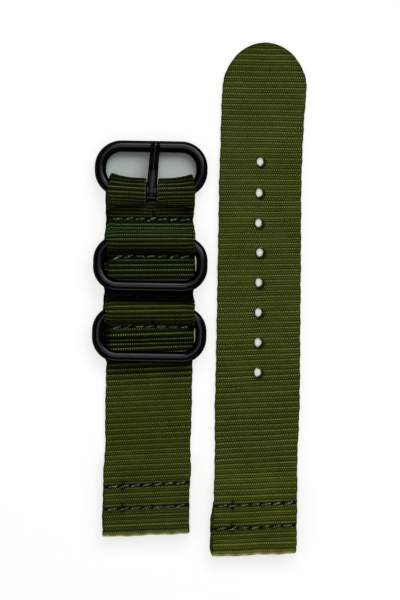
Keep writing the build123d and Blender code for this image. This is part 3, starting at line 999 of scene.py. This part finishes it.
tailPiece["holeYs"] = [tailPiece["firstHole"] - i * tailPiece["holePitch"] - drop
                       for i, drop in enumerate(tailPiece["holeDrop"])]
holeCuts = [HoleCut(x, tailPiece["tip"] - y, tailPiece["holeSize"])
            for x, y in zip(tailPiece["holeAside"], tailPiece["holeYs"])]
tailColumns = columnsAcross(tailPiece["width"], 1.5, 11)
makeWebbing("ribbed_webbing_tail", "olive ribbed nylon tail", tailLine, tailPiece, tailColumns, holeCuts)
print("webbing made")


# Stitches: one two-ply stitch is modelled for a seam, then copied along it

thread = {
    "radius": 0.13,
    "apart": 0.125,
    "twists": 2,
    "rise": 0.2,
    "dive": 0.55,              # how far its ends go down into the webbing
    "share": 0.9,              # of the distance between two needle holes
    "slant": 11,
    "slantBelow": -6.6,
    "slantSpread": 7,
    "placeSpread": 0.05,
    "liftSpread": 0.02,
    "topHalf": 0.38,
    "sunkAbove": 0.1,
    "sunkBelow": 0.44,
}


def oneStitch(length):
    plies = []
    for turn in (0, math.pi):
        ply = added(bpy.ops.curve.primitive_nurbs_path_add, location=(0, 0, 0))
        path = ply.data.splines[0]
        path.points.add(15 - len(path.points))
        for i, point in enumerate(path.points):
            t = i / (len(path.points) - 1)
            outward = abs(2 * t - 1)
            spin = turn + 2 * math.pi * thread["twists"] * t
            arch = thread["rise"] * (1 - outward ** 4) - thread["dive"] * outward ** 8
            aside, up = thread["apart"] * math.cos(spin), arch + thread["apart"] * math.sin(spin)
            point.co = ((t - 0.5) * length * mm, aside * mm, up * mm, 1)
        path.order_u, path.use_endpoint_u = 3, True
        ply.data.dimensions = "3D"
        ply.data.resolution_u, ply.data.bevel_resolution = 2, 1
        ply.data.bevel_depth = thread["radius"] * mm
        choose(ply)
        bpy.ops.object.convert(target="MESH")
        plies.append(bpy.context.object)
    return joined(plies, "stitch")


def copied(pattern, points):
    copy = pattern.copy()
    copy.data = pattern.data.copy()
    bpy.context.collection.objects.link(copy)
    movePoints(copy, points)
    return copy


def seamThread(name, seam):
    sizes = bucklePiece if seam["piece"] == "buckle" else tailPiece
    width = sizes["width"]
    needles = needlePlaces(width)
    pitch = needles[1] - needles[0]
    pattern = oneStitch(pitch * thread["share"])
    base = pointsOf(pattern) / mm
    top = bell(base[:, 0] / pitch, thread["topHalf"], 4)    # where a stitch stands up and shines
    if not seam.get("lit", True):
        top = np.full(len(base), -1.0)
    keepTone(pattern, "top", top)
    skew = math.tan(math.radians(eased(sizes["skew"], seam["y"])))
    sway = eased(sizes["sway"], seam["y"])
    stitches = []
    for side in (1, -1):    # the front, then the back
        slant = thread["slant"] if side > 0 else thread["slantBelow"]
        level = seam["top"] - thread["sunkAbove"] if side > 0 else seam["bottom"] + thread["sunkBelow"]
        for a, b in zip(needles[:-1], needles[1:]):
            midX = (a + b) / 2
            startY, endY = seamRow(seam, a, width), seamRow(seam, b, width)
            tilt = math.atan2(endY - startY, pitch)
            tilt += math.radians(slant + chance.normal(0, thread["slantSpread"]))
            lift = chance.normal(0, thread["liftSpread"]) if side > 0 else 0
            placeX = midX + chance.normal(0, thread["placeSpread"])
            placeY = (startY + endY) / 2 + midX * skew + chance.normal(0, thread["placeSpread"])
            turned = base * (1, 1, side)
            turned[:, 0] = base[:, 0] * math.cos(tilt) - base[:, 1] * math.sin(tilt)
            turned[:, 1] = base[:, 0] * math.sin(tilt) + base[:, 1] * math.cos(tilt)
            turned += (placeX, placeY, level + lift)
            turned[:, 1] += (turned[:, 0] - midX) * skew
            turned[:, 0] += sizes["x"] + sway
            if side < 0:
                turned[:, 2] = np.maximum(turned[:, 2], seam["bottom"] + 0.02)
            stitches.append(copied(pattern, turned * mm))
    bpy.data.objects.remove(pattern)
    piece = joined(stitches, "thread_" + name)
    finished(piece, threadMaterial, seam["piece"] + "_strap", [name])


for name, seam in seams.items():
    seamThread(name, seam)
print("stitches made")


# Melted rims round the sizing holes

rimSizes = {"thick": 0.12, "outward": 1.2, "upward": 0.8, "past": 0.02, "heights": (2 * half - 0.06, 0.08)}


def meltedRims():
    rims = []
    width, length = tailPiece["holeSize"]
    for aside, y in zip(tailPiece["holeAside"], tailPiece["holeYs"]):
        sway = eased(tailPiece["sway"], y)
        for z in rimSizes["heights"]:
            rim = added(bpy.ops.mesh.primitive_torus_add, major_radius=1, minor_radius=rimSizes["thick"],
                        major_segments=36, minor_segments=8, location=(0, 0, 0))
            points = pointsOf(rim)
            angle = np.arctan2(points[:, 1], points[:, 0])
            past = rimSizes["past"] + (np.hypot(points[:, 0], points[:, 1]) - 1) * rimSizes["outward"]
            wobble = 1 + 0.05 * np.sin(3 * angle + chance.uniform(0, 6))
            wobble += 0.04 * np.sin(5 * angle + chance.uniform(0, 6))
            px = np.cos(angle) * (width / 2 * wobble + past) + tailX + aside + sway
            py = np.sin(angle) * (length / 2 * wobble + past) + y
            pz = points[:, 2] * rimSizes["upward"] + z
            movePoints(rim, np.stack([px, py, pz], axis=1) * mm)
            rims.append(rim)
    finished(joined(rims, "melted_hole_rims"), meltedMaterial, "tail_strap")


meltedRims()
print("hole rims made")

for node in ("buckle_frame", "buckle_tongue", "upper_keeper_ring", "lower_keeper_ring"):
    piece = choose(frame["nodes"][node])
    bpy.ops.object.shade_smooth_by_angle(angle=math.radians(30))
    piece.data.materials.clear()
    piece.data.materials.append(platingMaterial)
print("hardware finished")


# Floor, light and camera

studio = {
    "floorShare": 0.78,            # how much of the floor is plain white to the camera
    "floorGlow": 1.08,
    "floorBlue": 1.45,             # blue goes first from the paper's glow in its painted shade under the strap
    "openReach": 0.006,            # how far the paper feels what covers it, in metres
    "coveredFrom": 0.03,           # openness of paper that the strap hides from the light
    "coveredReach": 0.36,
    # painted shade on paper that the strap covers
    "covered": (0.02, 0.022, 0.015),
    "open": (0.9, 0.9, 0.9),
    "windowMiddle": (-0.2, 32.2),  # the buckle's window, which holds shade
    "windowHalf": (12.4, 6.6),
    "windowEdge": (1.25, 0.8),
    "windowShare": 0.97,
    "shadeTint": (0.455, 0.5, 0.455),
    "worldColour": (0.8, 0.86, 0.9),
    "worldStrength": 0.1,
    "cameraHeight": 0.75,
    "frameTall": 153.5,
    "lookAt": (0.875, -0.6),
    "roll": 0.95,
}
lights = {
    "key light": {
        "watts": 4.6, "size": (0.6, 0.38), "place": (0.17, 0.4638, 0.5119), "colour": (0.95, 0.98, 1)},
    "low light": {
        "watts": 1.6, "size": (0.8, 0.12), "place": (0.02, -0.83, 0.16), "colour": (1, 0.95, 0.86)},
    "overhead light": {
        "watts": 1.2, "size": (0.42, 0.42), "place": (-0.05, 0.04, 0.85), "colour": (1, 1, 1)},
}


def studioFloor():
    floor = added(bpy.ops.mesh.primitive_grid_add, x_subdivisions=4, y_subdivisions=4, size=2.4)
    floor.name = "floor"
    movePoints(floor, pointsOf(floor) - [0, 0, 0.00002])
    paper = Recipe("white paper", Roughness=0.9)
    openness = paper.node("AmbientOcclusion", {"samples": 12}, {"Distance": studio["openReach"]}, "AO")
    # Painted shade: where the strap covers the paper, its colour darkens and its white glow dims
    lit = ((openness - studio["coveredFrom"]) * (1 / studio["coveredReach"])).atLeast(0).atMost(1)
    lit = lit * (0.8 + 0.2 * openness)
    px = paper.away(0, buckleX + studio["windowMiddle"][0], studio["windowHalf"][0])
    py = paper.away(1, studio["windowMiddle"][1], studio["windowHalf"][1])
    inWindow = paper.patch(px, py, *studio["windowEdge"])
    rise = 1.03 - 0.15 * py    # darker towards the upper bar
    tint = paper.node("CombineXYZ", None, {i: rise * studio["shadeTint"][i] for i in range(3)})
    paper.give("Base Color", paper.mix(lit, studio["covered"], paper.mix(inWindow, studio["open"], tint)))
    camera, glossy, through = (paper.node("LightPath", output=f"Is {kind} Ray")
                               for kind in ("Camera", "Glossy", "Transmission"))
    share = (camera + glossy + through).atMost(1) * studio["floorShare"]
    share = share * (1 - inWindow * studio["windowShare"])
    glow = paper.node("CombineXYZ", None, {0: lit, 1: lit, 2: lit ** studio["floorBlue"]})
    white = paper.node("Emission", None, {"Color": glow, "Strength": studio["floorGlow"]})
    surface = paper.node("MixShader", None, {0: share, 1: Value(paper, paper.shader.outputs[0]), 2: white})
    paper.tree.links.new(surface.socket, paper.tree.nodes["Material Output"].inputs["Surface"])
    floor.data.materials.append(paper.material)


def softLight(name, settings):
    lamp = added(bpy.ops.object.light_add, type="AREA", location=settings["place"])
    lamp.name = name
    lamp.data.shape, lamp.data.energy, lamp.data.color = "RECTANGLE", settings["watts"], settings["colour"]
    lamp.data.size, lamp.data.size_y = settings["size"]
    lamp.rotation_euler = (-Vector(settings["place"])).to_track_quat("-Z", "Y").to_euler()


studioFloor()
for name, settings in lights.items():
    softLight(name, settings)

scene = bpy.context.scene
scene.view_settings.view_transform = "Standard"
scene.world = scene.world or bpy.data.worlds.new("room")
scene.world.use_nodes = True
sky = scene.world.node_tree.nodes["Background"]
sky.inputs["Color"].default_value = (*studio["worldColour"], 1)
sky.inputs["Strength"].default_value = studio["worldStrength"]

cameraX, cameraY = (c * mm for c in studio["lookAt"])
camera = added(bpy.ops.object.camera_add, location=(cameraX, cameraY, studio["cameraHeight"]),
               rotation=(0, 0, math.radians(studio["roll"])))
camera.data.sensor_fit, camera.data.sensor_height = "VERTICAL", 24
camera.data.lens = 24 * studio["cameraHeight"] / (studio["frameTall"] * mm)
camera.data.clip_start, camera.data.clip_end = 0.01, 10
scene.camera = camera
print("studio ready")
